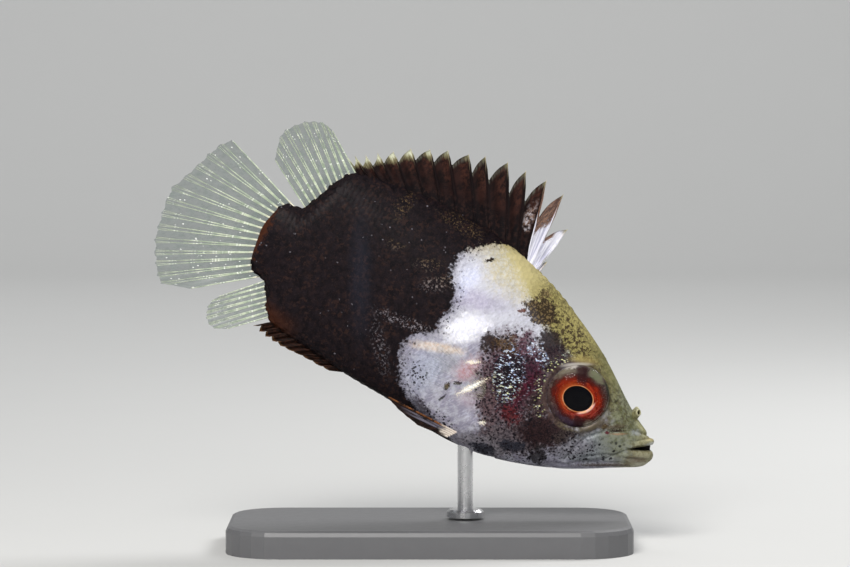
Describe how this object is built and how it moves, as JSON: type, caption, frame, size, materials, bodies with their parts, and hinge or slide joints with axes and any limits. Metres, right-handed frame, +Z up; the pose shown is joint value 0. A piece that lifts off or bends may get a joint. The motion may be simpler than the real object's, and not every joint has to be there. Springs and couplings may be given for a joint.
{
  "type": "fish model",
  "caption": "Still, life-size leaf-shaped fish, nose down, half dark and half silver, with spiny and clear fins, held over a flat plate by one short rod.",
  "frame": {"origin": "centre of the underside of the stand's plate", "axes": "+Z up, +X the way the snout points over the stand, -Y the side that the fish's right flank faces"},
  "size_m": [0.0643, 0.028, 0.055],
  "materials": {
    "skin_pale": "pearly silver-lavender scaled skin, olive on the forehead, speckled",
    "skin_gill": "dark maroon gill cover with iridescent spots",
    "skin_dark": "brown-black scaled skin, satin",
    "fin_dark": "dark reddish-brown membrane with pale tips",
    "fin_clear": "clear membrane with pale jointed rays",
    "eye": "glossy, red iris with black pupil",
    "stand_base": "satin grey paint",
    "stand_rod": "fine brushed steel"
  },
  "bodies": {
    "root": {"head": "skin_pale", "upper_jaw": "skin_pale", "lower_jaw": "skin_pale", "opercle_right": "skin_gill", "opercle_left": "skin_gill", "eye_right": "eye", "eye_left": "eye", "trunk": "skin_dark", "tail_base": "skin_dark", "dorsal_fin_spiny": "fin_dark", "dorsal_fin_soft": "fin_clear", "caudal_fin": "fin_clear", "anal_fin_spiny": "fin_dark", "anal_fin_soft": "fin_clear", "pectoral_fin_right": "fin_clear", "pectoral_fin_left": "fin_clear", "pelvic_fin_right": "fin_dark", "pelvic_fin_left": "fin_dark", "stand_base": "stand_base", "stand_rod": "stand_rod"}
  },
  "joints": []
}
